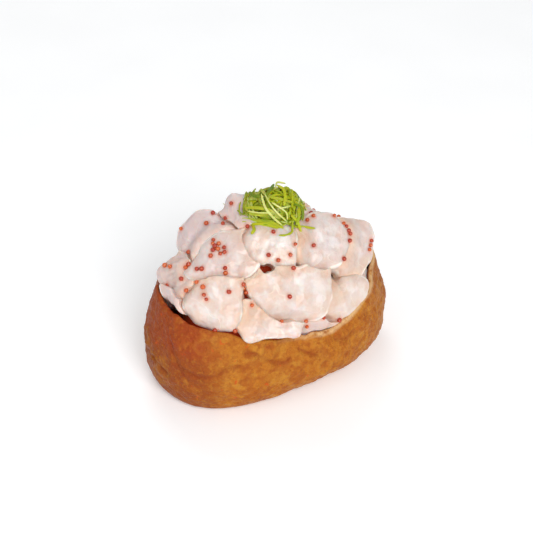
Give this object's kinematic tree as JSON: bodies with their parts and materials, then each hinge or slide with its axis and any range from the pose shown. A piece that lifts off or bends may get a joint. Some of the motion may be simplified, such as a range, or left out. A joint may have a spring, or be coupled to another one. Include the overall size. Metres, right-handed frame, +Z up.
{
  "type": "inari sushi",
  "caption": "Open boat-shaped pouch of fried tofu heaped with slices of raw white squid, with flying-fish roe and a tuft of shredded spring onion on top.",
  "frame": {"origin": "on the surface that the sushi stands on, under the middle of the pouch", "axes": "+X along the pouch, +Z up, -Y towards the side that a slice hangs over"},
  "size_m": [0.076, 0.0509, 0.0582],
  "materials": {
    "tofu_skin": "golden-brown fried tofu skin, finely wrinkled, slightly moist",
    "squid": "raw white squid, translucent and wet",
    "spring_onion": "fresh spring onion, shredded, light green to white",
    "roe": "orange-red flying-fish roe, glossy"
  },
  "bodies": {
    "root": {"pouch": "tofu_skin", "squid_front_middle": "squid", "squid_front_left": "squid", "squid_upper_middle": "squid", "squid_upper_right": "squid", "squid_middle_left": "squid", "squid_hanging": "squid", "squid_front_right": "squid", "squid_back_right": "squid", "squid_left_top": "squid", "squid_left_low": "squid", "squid_left_sliver": "squid", "squid_back_middle": "squid", "squid_under_right": "squid", "squid_top": "squid", "squid_end_right": "squid", "squid_end_right_front": "squid", "squid_end_right_top": "squid", "squid_rear_middle": "squid", "squid_rear_left": "squid", "squid_rear_right": "squid", "squid_rear_top_left": "squid", "squid_rear_top_right": "squid", "spring_onion": "spring_onion"}
  },
  "joints": []
}
